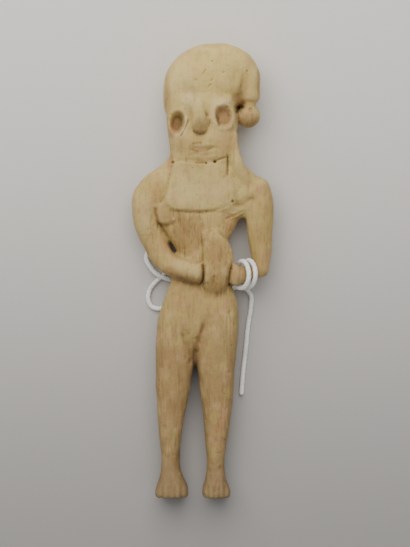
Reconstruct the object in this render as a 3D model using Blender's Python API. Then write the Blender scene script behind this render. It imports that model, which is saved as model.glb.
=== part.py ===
"""Ancient terracotta male figure, turbaned, holding an infant, with the string that ties it.

The figure lies on its back, as a loose figure of this kind does.
Frame, in metres: +X to the right of someone who looks at its face, +Y towards the turban,
+Z out of the chest. The origin is under the middle of the figure, on the surface it lies on.
"""

import math

import bmesh
import bpy
import numpy as np
from mathutils import Matrix, Vector

# Driving sizes, in metres.
FIGURE_HEIGHT = 0.130
STRING_DIAMETER = 0.0013

# Everything in the figure is a share of its height. One UNIT is 1/130 of the height, so
# a number in the tables below reads as millimetres on a figure 130 mm tall.
UNIT = FIGURE_HEIGHT / 130

# How the clay is worked, in UNITs.
BODY_GRAIN = 0.42
BODY_SOFTENING = 7
DETAIL_GRAIN = 0.3
DETAIL_SOFTENING = 2
FIGURE_TRIANGLES = 8400
RING_POINTS = 40
SLICES = 44

CLAY_COLOUR = (0.56, 0.44, 0.27)
CLAY_ROUGHNESS = 0.92
STRING_COLOUR = (0.80, 0.78, 0.72)
STRING_ROUGHNESS = 0.9

# Slices across the body: height y, left x, right x, back z, front z.
TORSO = (
    (-22.0, -9.4, 6.6, 1.6, 11.2),
    (-17.0, -13.3, 10.3, -0.6, 13.0),
    (-12.6, -12.6, 10.5, -0.6, 12.8),
    (-8.3, -11.2, 9.9, 2.4, 12.2),
    (-4.9, -9.9, 8.7, 3.3, 11.7),
    (-1.0, -8.3, 7.5, 3.6, 11.3),
    (3.0, -6.9, 6.9, 3.8, 11.1),
    (6.0, -7.6, 6.9, 3.6, 11.2),
    (9.0, -9.5, 7.5, 3.2, 11.4),
    (12.4, -11.5, 9.4, 2.4, 11.6),
    (16.1, -12.8, 10.8, 1.6, 11.8),
    (20.4, -13.2, 11.8, 0.8, 12.0),
    (24.7, -13.4, 13.2, 0.6, 12.2),
    (28.0, -11.4, 12.4, 1.2, 12.4),
    (31.0, -9.2, 11.0, 2.0, 12.4),
    (34.0, -8.6, 10.3, 2.4, 12.4),
    (38.0, -8.6, 9.8, 2.2, 12.4),
)
SHOULDERS = (
    (15.6, -15.0, 14.4, 4.5, 9.4),
    (18.4, -16.8, 17.0, 2.2, 11.6),
    (22.0, -18.7, 18.8, 1.6, 12.2),
    (25.0, -18.4, 18.2, 1.6, 12.4),
    (27.2, -16.6, 15.9, 2.0, 12.4),
    (29.2, -13.4, 13.6, 2.6, 12.6),
    (31.2, -10.9, 11.6, 3.0, 12.8),
    (33.5, -9.0, 10.6, 3.2, 12.8),
)
RIGHT_LEG = (
    (-12.0, -12.4, -0.6, 0.2, 12.6),
    (-19.8, -13.4, -1.6, -0.4, 13.2),
    (-25.6, -13.4, -2.2, 0.3, 12.8),
    (-31.3, -13.4, -3.2, 1.0, 12.2),
    (-37.1, -13.2, -4.2, 1.6, 11.6),
    (-42.8, -12.9, -5.4, 1.8, 10.9),
    (-48.6, -12.4, -6.1, 1.6, 10.2),
    (-54.4, -11.9, -6.6, 1.2, 9.4),
    (-59.0, -11.9, -6.4, 0.8, 9.2),
)
LEFT_LEG = (
    (-12.0, -0.6, 10.3, 0.2, 12.6),
    (-19.8, -1.2, 10.2, -0.4, 13.2),
    (-25.6, -1.8, 9.6, 0.3, 12.8),
    (-31.3, -1.1, 9.2, 1.0, 12.2),
    (-37.1, -0.4, 8.7, 1.6, 11.6),
    (-42.8, 0.3, 8.1, 1.8, 10.9),
    (-48.6, 0.9, 7.3, 1.6, 10.2),
    (-54.4, 1.2, 6.4, 1.2, 9.4),
    (-59.0, 1.2, 6.4, 0.8, 9.2),
)
RIGHT_FOOT = (
    (-57.0, -11.6, -6.6, 1.0, 8.9),
    (-60.1, -12.5, -5.3, 0.2, 10.6),
    (-62.5, -13.4, -4.2, -0.4, 12.3),
    (-64.3, -13.6, -4.0, -0.4, 12.8),
    (-65.2, -13.3, -4.3, 0.2, 12.4),
)
LEFT_FOOT = (
    (-57.0, 1.3, 6.3, 1.0, 8.9),
    (-60.1, 0.7, 6.9, 0.2, 10.6),
    (-62.5, 0.0, 7.9, -0.4, 12.0),
    (-64.3, -0.2, 8.2, -0.4, 12.5),
    (-65.2, 0.1, 7.9, 0.2, 12.1),
)
HEAD = (
    (29.6, -8.4, 8.4, 4.0, 12.4),
    (31.0, -8.9, 9.0, 3.5, 13.9),
    (33.4, -9.1, 9.6, 3.0, 14.5),
    (36.0, -9.3, 9.8, 2.4, 15.0),
    (39.0, -9.8, 9.9, 2.0, 15.0),
    (42.5, -10.2, 10.2, 1.6, 14.9),
    (46.0, -10.2, 10.3, 1.2, 15.1),
    (49.5, -9.9, 9.9, 1.0, 15.6),
    (53.0, -9.0, 9.0, 1.0, 15.0),
)
TURBAN = (
    (45.6, -10.7, 10.2, 0.8, 9.5),
    (47.6, -11.2, 11.4, -0.2, 11.6),
    (50.0, -11.3, 12.0, -0.7, 14.9),
    (52.0, -11.3, 13.6, -0.8, 15.9),
    (55.0, -10.9, 15.0, -0.8, 16.4),
    (58.0, -9.8, 15.4, -0.3, 16.4),
    (60.4, -8.1, 14.6, 0.8, 15.8),
    (62.5, -5.6, 13.0, 2.4, 14.6),
    (64.1, -2.8, 10.4, 4.2, 12.9),
    (65.2, -0.2, 7.0, 6.4, 10.8),
)
BIB = (
    (31.9, -8.7, 7.4, 8.0, 13.3),
    (30.8, -8.9, 7.6, 8.0, 13.7),
    (27.6, -9.5, 8.4, 8.0, 13.5),
    (23.3, -10.4, 9.6, 8.0, 13.3),
    (20.0, -10.9, 9.8, 8.0, 13.0),
    (18.0, -9.2, 8.0, 8.5, 12.7),
    (17.1, -6.4, 5.0, 9.0, 12.5),
)
INFANT = (
    (11.9, 0.9, 3.9, 9.0, 12.3),
    (11.2, 0.1, 4.9, 8.5, 13.1),
    (9.8, -0.4, 6.3, 8.5, 13.6),
    (7.6, -0.1, 7.8, 8.5, 14.0),
    (4.6, 0.1, 8.9, 8.5, 14.5),
    (2.6, 0.2, 9.0, 8.5, 14.8),
    (1.0, 0.3, 8.0, 8.5, 14.9),
    (-1.2, 0.4, 7.5, 8.5, 14.8),
    (-3.2, 0.2, 7.2, 8.5, 14.2),
    (-4.8, 0.5, 6.8, 8.5, 13.4),
    (-6.2, 1.6, 6.0, 8.8, 12.4),
)
NOSE = (
    (49.6, -2.9, 1.3, 13.0, 15.4),
    (47.0, -2.9, 1.1, 13.0, 16.2),
    (45.0, -2.8, 1.1, 13.0, 17.1),
    (43.6, -2.9, 1.3, 13.0, 18.0),
    (42.4, -3.0, 1.5, 13.0, 18.0),
    (40.8, -2.9, 1.4, 13.0, 16.9),
    (39.2, -2.4, 1.0, 13.0, 15.4),
)

# Stations along a limb: centre x, y, z, then its half width and its half depth.
RIGHT_ARM = (
    (-13.1, 25.0, 6.8, 3.4, 4.8),
    (-15.9, 21.3, 6.8, 4.2, 4.6),
    (-16.5, 17.0, 6.7, 3.8, 4.1),
    (-15.4, 12.1, 6.7, 3.8, 3.8),
    (-13.5, 7.8, 6.8, 3.6, 3.6),
    (-11.4, 3.8, 7.6, 3.4, 3.4),
    (-8.5, 1.4, 9.8, 3.1, 3.1),
    (-5.0, 0.2, 11.9, 3.1, 3.0),
    (-1.9, -0.5, 12.4, 3.0, 2.8),
    (-0.5, -0.8, 12.5, 2.9, 2.6),
)
LEFT_UPPER_ARM = (
    (15.7, 24.2, 6.8, 3.6, 4.8),
    (16.5, 20.1, 6.8, 3.9, 4.6),
    (16.5, 15.8, 6.7, 3.9, 4.2),
    (16.6, 11.2, 6.7, 3.7, 3.9),
    (16.8, 6.6, 6.9, 3.3, 3.6),
    (17.0, 2.6, 7.4, 2.6, 3.1),
    (17.2, 0.0, 7.9, 2.0, 2.7),
)
LEFT_FOREARM = (
    (17.0, 0.9, 8.2, 2.2, 2.5),
    (15.2, -0.1, 8.8, 2.2, 2.3),
    (13.0, -0.8, 9.9, 2.2, 2.3),
    (11.4, -1.0, 10.9, 2.3, 2.3),
    (9.8, -1.2, 12.0, 3.0, 2.7),
    (8.9, -1.2, 12.6, 3.1, 2.6),
)
TURBAN_ROLL = (
    (12.6, 59.4, 9.6, 2.4, 4.4),
    (13.7, 56.0, 9.4, 2.8, 5.0),
    (13.7, 52.6, 9.2, 2.9, 4.7),
    (13.6, 49.4, 9.0, 2.9, 4.1),
)
SIDE_LOCK = (
    (9.2, 39.0, 11.4, 0.9, 2.0),
    (9.4, 35.5, 11.8, 1.1, 1.9),
    (9.8, 32.0, 11.8, 1.5, 1.8),
    (10.8, 28.6, 11.2, 2.0, 1.8),
    (12.4, 25.2, 10.2, 2.2, 1.6),
)
UPPER_LIP = (
    (-3.4, 36.0, 14.5, 0.6, 0.6),
    (-0.4, 35.7, 14.7, 0.8, 0.6),
    (2.4, 36.2, 14.5, 0.6, 0.6),
)
LOWER_LIP = (
    (-2.6, 34.0, 14.3, 0.7, 0.5),
    (-0.2, 33.7, 14.5, 0.8, 0.5),
    (2.2, 34.2, 14.3, 0.7, 0.5),
)

# Rounded lumps: centre, then half sizes.
TURBAN_KNOB = ((13.4, 44.5, 9.0), (3.3, 3.4, 3.7))
RIGHT_BREAST = ((-10.5, 15.9, 10.0), (3.0, 2.8, 2.1))
LEFT_BREAST = ((9.0, 17.2, 10.4), (2.9, 1.8, 1.5))
RIGHT_BROW = ((-3.6, 48.6, 14.8), (3.2, 2.2, 0.9))
LEFT_BROW = ((5.4, 48.8, 14.3), (3.1, 1.9, 1.1))

# Eyes, each a ring of clay pressed round a hollow: centre x and y, half width and half
# height of the ring's crest, lean in degrees, height of the crest, depth of the hollow.
RIGHT_EYE = (-7.3, 42.5, 2.5, 3.7, -10.0, 0.8, 1.9)
LEFT_EYE = (6.1, 44.1, 2.8, 3.7, 12.0, 0.8, 0.7)
RING_SPREAD = 0.2
HOLLOW_SHARE = 0.8

# Grooves: half width, depth, then the points of the line on the front, x and y.
GROOVES = (
    (0.42, 0.5, ((-8.4, 31.3), (-4.6, 31.5), (1.1, 31.0), (3.5, 31.7), (7.3, 32.7))),
    (0.36, 1.0, ((7.3, 33.4), (7.4, 27.4))),
    (0.45, 0.7, ((-8.4, 31.3), (-9.5, 27.6), (-10.0, 24.7), (-12.2, 19.3), (-13.5, 17.0))),
    (0.5, 0.6, ((-13.5, 17.0), (-12.8, 13.5), (-10.6, 10.4))),
    (0.5, 0.4, ((-8.2, 17.2), (-2.4, 16.6), (3.6, 17.2), (7.9, 19.4))),
    (0.9, 0.35, ((8.6, 18.4), (10.2, 18.7), (12.2, 20.0), (14.8, 21.7))),
    (0.34, 2.0, ((0.0, 2.3), (0.3, 0.3), (0.2, -2.6), (-0.4, -3.7))),
    (0.36, 1.8, ((8.4, 1.9), (7.7, -1.2), (7.3, -3.8))),
    (0.9, 0.8, ((1.4, -13.4), (-0.2, -18.0), (-1.0, -20.5), (-2.6, -25.0))),
    (0.8, 0.4, ((-5.6, -16.6), (-4.2, -21.0), (-2.6, -25.0))),
    (0.45, 0.6, ((11.9, 56.0), (11.4, 53.0), (10.2, 50.9))),
    (0.46, 0.45, ((-3.9, 35.1), (-1.6, 34.8), (1.0, 34.7), (3.0, 35.4))),
    (0.34, 0.4, ((-2.8, 37.2), (-0.6, 37.1))),
    (0.4, 0.4, ((-3.4, 40.8), (-2.4, 38.9), (-0.4, 38.5), (1.6, 39.4))),
)
TOE_GROOVE = (0.36, 0.55)
TOES = 5
TOE_TOP = -61.8
TOE_BOTTOM = -65.6
TOE_FRONT = 8.0

# How square each form is across, from an oval (2) to a rounded box (4).
TRUNK_SQUARENESS = 2.5
INFANT_SQUARENESS = 3.4
LEG_SQUARENESS = 2.2
FOOT_SQUARENESS = 2.6
HEAD_SQUARENESS = 3.2
TURBAN_SQUARENESS = 3.1
BIB_SQUARENESS = 4.0
NOSE_SQUARENESS = 1.7
LIMB_SQUARENESS = 2.0

# The string, from its cut end beside the left leg, under the waist to a loop beside the
# right elbow, and back under the waist to the left wrist. Points of its middle line in
# UNITs in the figure's own place, then the turns that it makes round the wrist.
STRING_ROUTE = (
    (11.3, -36.2, 0.70),
    (11.8, -29.5, 0.70),
    (12.6, -22.5, 0.70),
    (13.3, -15.5, 0.70),
    (14.1, -10.2, 0.70),
    (14.1, -7.1, 0.70),
    (12.1, -5.0, 0.70),
    (8.8, -4.9, 0.70),
    (5.0, -5.5, 0.70),
    (0.0, -6.2, 0.70),
    (-5.0, -7.3, 0.70),
    (-9.2, -9.4, 0.70),
    (-12.6, -11.0, 0.70),
    (-14.9, -10.3, 0.70),
    (-15.9, -8.0, 0.70),
    (-15.3, -5.2, 0.70),
    (-13.4, -2.9, 0.70),
    (-11.2, -0.9, 0.70),
    (-9.6, 1.8, 0.70),
    (-10.2, 4.9, 0.70),
    (-12.6, 6.9, 0.70),
    (-15.3, 6.4, 0.90),
    (-16.4, 3.9, 1.60),
    (-15.3, 1.3, 2.20),
    (-13.4, -0.8, 2.45),
    (-11.1, -2.0, 2.30),
    (-8.4, -2.8, 1.30),
    (-5.0, -3.1, 0.75),
    (0.0, -3.1, 0.70),
    (4.5, -3.0, 0.70),
    (8.0, -2.9, 0.90),
    (10.8, -2.6, 2.30),
)
WRIST_TURNS = 1.9
WRIST_TURN_RADIUS = 3.8
WRIST_TURN_PITCH = 2.2
WRIST_FIRST = (13.15, -0.8, 9.8)
WRIST_HEADING = (-0.86, -0.10, 0.50)
POINTS_PER_TURN = 12
STRING_POINT_GAP = 2.1 * STRING_DIAMETER
STRING_SIDES = 2


def smooth_rows(rows, pieces):
    """Rows of numbers read at even steps from one smooth curve through the given rows."""
    rows = np.asarray(rows, float)
    steps = np.linalg.norm(np.diff(rows, axis=0), axis=1)
    at = np.concatenate([[0.0], np.cumsum(steps)])
    slope = np.gradient(rows, at, axis=0)
    fine = np.linspace(0.0, at[-1], pieces + 1)
    low = np.clip(np.searchsorted(at, fine, side="right") - 1, 0, len(at) - 2)
    span = (at[low + 1] - at[low])[:, None]
    t = (fine - at[low])[:, None] / span
    start = (1 + 2 * t) * (1 - t) ** 2 * rows[low] + t * (1 - t) ** 2 * span * slope[low]
    end = t**2 * (3 - 2 * t) * rows[low + 1] + t**2 * (t - 1) * span * slope[low + 1]
    return start + end


def rounded_turn(square):
    """Cosine and sine pairs round a turn, from an oval (2) to a rounded box (4 or more)."""
    turns = []
    for step in range(RING_POINTS):
        angle = math.tau * step / RING_POINTS
        c, s = math.cos(angle), math.sin(angle)
        power = 2 / square
        turns.append((math.copysign(abs(c) ** power, c), math.copysign(abs(s) ** power, s)))
    return turns


def add_skin(clay, rings):
    """Joins rings of points into one closed shell in the bmesh, its two ends capped."""
    loops = [[clay.verts.new(point) for point in ring] for ring in rings]
    for low, high in zip(loops, loops[1:]):
        for i in range(len(low)):
            j = (i + 1) % len(low)
            clay.faces.new((low[i], low[j], high[j], high[i]))
    clay.faces.new(reversed(loops[0]))
    clay.faces.new(loops[-1])


def add_slices(clay, rows, square):
    """A form given by slices across it, from one end to the other."""
    turn = rounded_turn(square)
    rings = []
    for y, left, right, back, front in smooth_rows(rows, SLICES):
        half_x, half_z = (right - left) / 2, (front - back) / 2
        middle = Vector(((left + right) / 2, y, (back + front) / 2))
        rings.append([middle + Vector((c * half_x, 0, s * half_z)) for c, s in turn])
    add_skin(clay, rings)


def add_limb(clay, stations, first_end=0.8, last_end=0.8):
    """A limb along a bending path, its ends domed by that share of its half width."""
    rows = smooth_rows(stations, SLICES)
    path = rows[:, :3]
    heading = np.gradient(path, axis=0)
    turn = rounded_turn(LIMB_SQUARENESS)

    def ring(index, out, scale):
        along = Vector(heading[index]).normalized()
        side = along.cross(Vector((0, 0, 1))).normalized()
        deep = side.cross(along)
        half_side, half_deep = rows[index, 3] * scale, rows[index, 4] * scale
        middle = Vector(path[index]) + along * out * rows[index, 3]
        return [middle + side * c * half_side + deep * s * half_deep for c, s in turn]

    dome = [(math.sin(math.radians(a)), math.cos(math.radians(a))) for a in (25, 50, 70, 84)]
    rings = [ring(0, -first_end * out, scale) for out, scale in reversed(dome)]
    rings += [ring(index, 0.0, 1.0) for index in range(len(rows))]
    rings += [ring(-1, last_end * out, scale) for out, scale in dome]
    add_skin(clay, rings)


def add_lump(clay, centre, halves):
    """A rounded lump, an ellipsoid with its axes along the frame's."""
    place = Matrix.Translation(centre) @ Matrix.Diagonal((*halves, 1.0))
    bmesh.ops.create_uvsphere(clay, u_segments=28, v_segments=16, radius=1.0, matrix=place)


def taken_mesh(source, name):
    """The object's mesh with its modifiers worked in. The object itself is removed."""
    bpy.context.view_layer.update()
    evaluated = source.evaluated_get(bpy.context.evaluated_depsgraph_get())
    mesh = bpy.data.meshes.new_from_object(evaluated)
    mesh.name = name
    bpy.data.objects.remove(source)
    return mesh


def worked_mesh(name, clay, grain, softening):
    """The shells in the bmesh made into one skin of even grain, its joints softened."""
    bmesh.ops.recalc_face_normals(clay, faces=clay.faces)
    mesh = bpy.data.meshes.new(name)
    clay.to_mesh(mesh)
    clay.free()
    lump = bpy.data.objects.new(name, mesh)
    bpy.context.scene.collection.objects.link(lump)
    remesh = lump.modifiers.new("One skin", "REMESH")
    remesh.mode = "VOXEL"
    remesh.voxel_size = grain
    smooth = lump.modifiers.new("Softened joints", "SMOOTH")
    smooth.factor = 0.5
    smooth.iterations = round(softening)
    return taken_mesh(lump, name)


def read_points(mesh):
    """The mesh's points and their normals, as arrays."""
    points = np.zeros(len(mesh.vertices) * 3, np.float32)
    normals = np.zeros(len(mesh.vertices) * 3, np.float32)
    mesh.vertices.foreach_get("co", points)
    mesh.vertex_normals.foreach_get("vector", normals)
    return points.reshape(-1, 3).astype(float), normals.reshape(-1, 3).astype(float)


def facing_front(normals):
    """1 on the front of the figure, falling to 0 on its sides and back."""
    return np.clip(normals[:, 2] * 2.5, 0, 1)


def distance_to_line(points, line):
    """How far each point is from a line on the front, seen straight from the front, and
    how far along the line its nearest place is, from 0 to 1."""
    corners = np.array(line)
    lengths = np.linalg.norm(np.diff(corners, axis=0), axis=1)
    begins = np.concatenate([[0.0], np.cumsum(lengths)])
    best = np.full(len(points), np.inf)
    share = np.zeros(len(points))
    for start, end, length, begin in zip(corners, corners[1:], lengths, begins):
        t = np.clip((points[:, :2] - start) @ (end - start) / length**2, 0, 1)
        away = np.linalg.norm(points[:, :2] - start - t[:, None] * (end - start), axis=1)
        nearer = away < best
        best = np.where(nearer, away, best)
        share = np.where(nearer, (begin + t * length) / begins[-1], share)
    return best, share


def groove_depth(points, normals):
    """How deep the grooves press in each point of the front. Each runs out at its ends."""
    depths = np.zeros(len(points))
    for half_width, depth, line in GROOVES:
        away, share = distance_to_line(points, line)
        runs_out = np.clip(np.minimum(share, 1 - share) * 5, 0.25, 1)
        depths = np.maximum(depths, runs_out * depth * np.exp(-((away / half_width) ** 2)))
    return depths * facing_front(normals)


def toe_depth(points, foot):
    """The grooves that part a foot's toes, from the instep over the edge of the sole."""
    half_width, depth = TOE_GROOVE
    left, right = foot[3][1], foot[3][2]
    front = np.clip((points[:, 2] - TOE_FRONT) / 2.0, 0, 1)
    depths = np.zeros(len(points))
    for gap in range(1, TOES):
        x = left + (right - left) * gap / TOES
        away, _ = distance_to_line(points, ((x, TOE_TOP), (x, TOE_BOTTOM)))
        depths += front * depth * np.exp(-((away / half_width) ** 2))
    return depths


def eye_height(points, normals, eye):
    """The ring of clay round an eye, raised, and the hollow inside it, pressed in."""
    x, y, half_width, half_height, lean, crest, hollow = eye
    a = math.radians(lean)
    dx, dy = points[:, 0] - x, points[:, 1] - y
    u = (dx * math.cos(a) + dy * math.sin(a)) / half_width
    v = (-dx * math.sin(a) + dy * math.cos(a)) / half_height
    out = np.hypot(u, v)
    ring = crest * np.exp(-(((out - 1) / RING_SPREAD) ** 2))
    bowl = hollow * np.clip(1 - (out / HOLLOW_SHARE) ** 4, 0, 1)
    return (ring - bowl) * facing_front(normals)


def body_mesh():
    """The masses of the figure: trunk, limbs, head, turban and the infant in its hands."""
    clay = bmesh.new()
    for rows in (TORSO, SHOULDERS):
        add_slices(clay, rows, TRUNK_SQUARENESS)
    add_slices(clay, INFANT, INFANT_SQUARENESS)
    for rows in (RIGHT_LEG, LEFT_LEG):
        add_slices(clay, rows, LEG_SQUARENESS)
    for rows in (RIGHT_FOOT, LEFT_FOOT):
        add_slices(clay, rows, FOOT_SQUARENESS)
    add_slices(clay, HEAD, HEAD_SQUARENESS)
    add_slices(clay, TURBAN, TURBAN_SQUARENESS)
    add_limb(clay, RIGHT_ARM, last_end=0.25)
    add_limb(clay, LEFT_UPPER_ARM)
    add_limb(clay, LEFT_FOREARM, last_end=0.3)
    add_limb(clay, TURBAN_ROLL, last_end=0.5)
    add_lump(clay, *TURBAN_KNOB)
    return worked_mesh("masses", clay, BODY_GRAIN, BODY_SOFTENING)


def detailed_mesh():
    """The masses with the bib, breasts and face laid on, and the lines pressed in."""
    clay = bmesh.new()
    clay.from_mesh(body_mesh())
    add_slices(clay, BIB, BIB_SQUARENESS)
    add_slices(clay, NOSE, NOSE_SQUARENESS)
    add_limb(clay, SIDE_LOCK)
    add_limb(clay, UPPER_LIP)
    add_limb(clay, LOWER_LIP)
    for centre, halves in (RIGHT_BREAST, LEFT_BREAST, RIGHT_BROW, LEFT_BROW):
        add_lump(clay, centre, halves)
    mesh = worked_mesh("terracotta_figure", clay, DETAIL_GRAIN, DETAIL_SOFTENING)
    points, normals = read_points(mesh)
    rise = eye_height(points, normals, RIGHT_EYE) + eye_height(points, normals, LEFT_EYE)
    points[:, 2] += rise - groove_depth(points, normals)
    toes = toe_depth(points, RIGHT_FOOT) + toe_depth(points, LEFT_FOOT)
    points -= normals * toes[:, None]
    mesh.vertices.foreach_set("co", points.astype(np.float32).ravel())
    mesh.update()
    return mesh


def finish_of(name, colour, roughness):
    """A matt material of one colour."""
    material = bpy.data.materials.new(name)
    material.use_nodes = True
    shader = material.node_tree.nodes["Principled BSDF"]
    shader.inputs["Base Color"].default_value = (*colour, 1.0)
    shader.inputs["Roughness"].default_value = roughness
    shader.inputs["Metallic"].default_value = 0.0
    return material


def ground_cutter():
    """A block under the surface that the figure lies on, which cuts its flat spots."""
    width, length, depth = 60.0, 160.0, 10.0
    block = bmesh.new()
    place = Matrix.Translation((0, 0, -depth / 2)) @ Matrix.Diagonal((width, length, depth, 1))
    bmesh.ops.create_cube(block, size=1.0, matrix=place)
    mesh = bpy.data.meshes.new("ground_cutter")
    block.to_mesh(mesh)
    block.free()
    cutter = bpy.data.objects.new("ground_cutter", mesh)
    bpy.context.scene.collection.objects.link(cutter)
    cutter.hide_render = True
    cutter.display_type = "WIRE"
    return cutter


def make_figure():
    """The fired clay figure, one piece from turban to toes, its middle over the origin."""
    rough = bpy.data.objects.new("rough_figure", detailed_mesh())
    bpy.context.scene.collection.objects.link(rough)
    thin = rough.modifiers.new("Facets", "DECIMATE")
    thin.ratio = FIGURE_TRIANGLES / (2 * len(rough.data.polygons))
    cut = rough.modifiers.new("Flat spots", "BOOLEAN")
    cut.operation = "DIFFERENCE"
    cutter = ground_cutter()
    cut.object = cutter
    mesh = taken_mesh(rough, "terracotta_figure")
    bpy.data.objects.remove(cutter)

    points, _ = read_points(mesh)
    middle = (points.min(axis=0) + points.max(axis=0)) / 2
    centred = Matrix.Translation((-middle[0], -middle[1], 0.0))
    mesh.transform(Matrix.Scale(UNIT, 4) @ centred)
    mesh.shade_smooth()
    mesh.materials.clear()
    mesh.materials.append(finish_of("terracotta", CLAY_COLOUR, CLAY_ROUGHNESS))
    figure = bpy.data.objects.new("terracotta_figure", mesh)
    bpy.context.scene.collection.objects.link(figure)


def wrist_turns():
    """Points of the turns round the left wrist, which climb from the elbow to the hand."""
    heading = Vector(WRIST_HEADING).normalized()
    upward = heading.cross(Vector((0, 0, 1))).normalized()
    forward = upward.cross(heading)
    points = []
    for step in range(round(WRIST_TURNS * POINTS_PER_TURN) + 1):
        turn = step / POINTS_PER_TURN
        angle = math.pi - math.tau * turn
        along = heading * WRIST_TURN_PITCH * (turn - 0.5)
        out = forward * math.cos(angle) + upward * math.sin(angle)
        points.append(Vector(WRIST_FIRST) + along + out * WRIST_TURN_RADIUS)
    return points


def make_string():
    """The string, a round tube along one smooth curve, both its ends cut."""
    route = [Vector(point) for point in STRING_ROUTE] + wrist_turns()
    route = np.array(route) * UNIT
    length = np.linalg.norm(np.diff(route, axis=0), axis=1).sum()
    points = smooth_rows(route, round(length / STRING_POINT_GAP))
    curve = bpy.data.curves.new("tie_string", "CURVE")
    curve.dimensions = "3D"
    curve.bevel_depth = STRING_DIAMETER / 2
    curve.bevel_resolution = STRING_SIDES
    curve.use_fill_caps = True
    spline = curve.splines.new("POLY")
    spline.points.add(len(points) - 1)
    for place, point in zip(spline.points, points):
        place.co = (*point, 1.0)
    curve.materials.append(finish_of("cotton", STRING_COLOUR, STRING_ROUGHNESS))
    string = bpy.data.objects.new("tie_string", curve)
    bpy.context.scene.collection.objects.link(string)


def main():
    for leftover in list(bpy.data.objects):
        bpy.data.objects.remove(leftover)
    make_figure()
    make_string()


main()
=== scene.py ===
"""Ancient terracotta male figure with an infant in its hands, tied with a cotton string.

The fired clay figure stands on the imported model's solid, worked over with the finer marks:
eye hollows, creases, tool strokes, pits and chips. The string is a twisted cotton cord.
"""

import itertools
import math

import bpy
import numpy as np
from bpy.props import FloatProperty, FloatVectorProperty, IntProperty, PointerProperty
from bpy.types import Operator, Panel, PropertyGroup
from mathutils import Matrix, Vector
from mathutils.kdtree import KDTree


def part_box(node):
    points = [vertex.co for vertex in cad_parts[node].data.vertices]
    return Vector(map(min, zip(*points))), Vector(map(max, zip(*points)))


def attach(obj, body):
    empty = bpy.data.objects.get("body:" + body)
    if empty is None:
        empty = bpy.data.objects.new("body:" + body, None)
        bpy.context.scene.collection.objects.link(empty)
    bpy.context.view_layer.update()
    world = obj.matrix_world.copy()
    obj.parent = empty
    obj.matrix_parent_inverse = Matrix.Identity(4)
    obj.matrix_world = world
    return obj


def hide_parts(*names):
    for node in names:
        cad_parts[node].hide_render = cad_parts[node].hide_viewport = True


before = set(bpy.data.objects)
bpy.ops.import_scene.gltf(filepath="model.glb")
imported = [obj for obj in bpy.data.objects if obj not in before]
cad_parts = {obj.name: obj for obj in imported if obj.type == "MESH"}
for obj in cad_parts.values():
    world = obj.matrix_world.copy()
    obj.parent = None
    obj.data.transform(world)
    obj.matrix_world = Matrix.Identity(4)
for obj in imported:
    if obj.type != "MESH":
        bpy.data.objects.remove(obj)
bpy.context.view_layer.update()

bl_info = {
    "name": "Terracotta male figure",
    "version": (1, 0, 0),
    "blender": (4, 5, 0),
    "location": "View3D > Sidebar > Figure",
    "description": "Dresses the terracotta figure and its string, and sets the studio round it",
    "category": "Object",
}

BODY = "root"
FIGURE_NODE = "terracotta_figure"
STRING_NODE = "tie_string"

# The figure's length in units, so a number below reads as millimetres on it.
FIGURE_LENGTH = 130.4
FIGURE_LOW, FIGURE_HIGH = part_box(FIGURE_NODE)
UNIT = (FIGURE_HIGH[1] - FIGURE_LOW[1]) / FIGURE_LENGTH
MM = 0.001

# The photograph: its size, the scale at the figure, and the pixel at the figure's origin.
PHOTO_WIDTH = 410
PHOTO_HEIGHT = 547
MM_PER_PIXEL = 0.2876
ORIGIN_PIXEL = (202.6, 271.0)

STRING_DIAMETER = 1.3 * MM

# The string's route, in units, from its free end beside the leg to its turns at the wrist.
STRING_ROUTE = (
    (11.3, -36.2, 0.70),
    (11.8, -29.5, 0.70),
    (12.6, -22.5, 0.70),
    (13.3, -15.5, 0.70),
    (14.1, -10.2, 0.70),
    (14.1, -7.1, 0.70),
    (12.1, -5.0, 0.70),
    (8.8, -4.9, 0.70),
    (5.0, -5.5, 0.70),
    (0.0, -6.2, 0.70),
    (-5.0, -7.3, 0.70),
    (-9.2, -9.4, 0.70),
    (-12.6, -11.0, 0.70),
    (-14.9, -10.3, 0.70),
    (-15.9, -8.0, 0.70),
    (-15.3, -5.2, 0.70),
    (-13.4, -2.9, 0.70),
    (-11.2, -0.9, 0.70),
    (-9.6, 1.8, 0.70),
    (-10.2, 4.9, 0.70),
    (-12.6, 6.9, 0.70),
    (-15.3, 6.4, 0.90),
    (-16.4, 3.9, 1.60),
    (-15.3, 1.3, 2.20),
    (-13.4, -0.8, 2.45),
    (-11.1, -2.0, 2.30),
    (-8.4, -2.8, 1.30),
    (-5.0, -3.1, 0.75),
    (0.0, -3.1, 0.70),
    (4.5, -3.0, 0.70),
    (8.0, -2.9, 0.90),
    (10.8, -2.6, 2.30),
)

# The turns round the wrist: how many, their radius and pitch, their middle and their axis.
WRIST_TURNS = 1.9
WRIST_TURN_RADIUS = 3.8
WRIST_TURN_PITCH = 2.2
WRIST_MIDDLE = (13.15, -0.8, 9.8)
WRIST_HEADING = (-0.86, -0.10, 0.50)
POINTS_PER_TURN = 12

# The string's skin: its mesh, the plies, and how their thickness swells along it.
STRING_STEP = 0.3 * MM
STRING_RING = 24
END_BLUNTNESS = 0.1
PLIES = 3
PLY_GROOVE = 0.16
MEAN_LOBE = 0.64
PLY_UNEVEN = 0.03
SWELL_PITCHES = 1.7
SWELLS_PER_METRE = 1300.0
FIBRE_DEPTH = 0.00006

# How the figure's mesh is worked: sizes of its squares in units, smoothing and triangles.
FIRST_GRAIN = 0.26
FIRST_SOFTENING = 16
SECOND_GRAIN = 0.20
SECOND_SOFTENING = 2
FIGURE_TRIANGLES = 190000

# How a tool meets the clay: where the skin turns to the front, how far a stroke or a pit reaches,
# how quickly a stroke fades at its ends and what is left there, and where a pit's wall stands.
FRONT_SLOPE = (0.0, 0.45)
STROKE_REACH = 3.0
STROKE_FADE = 7.0
STROKE_END = 0.25
PIT_REACH = 1.6
PIT_WALL = (0.45, 1.25)

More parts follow.
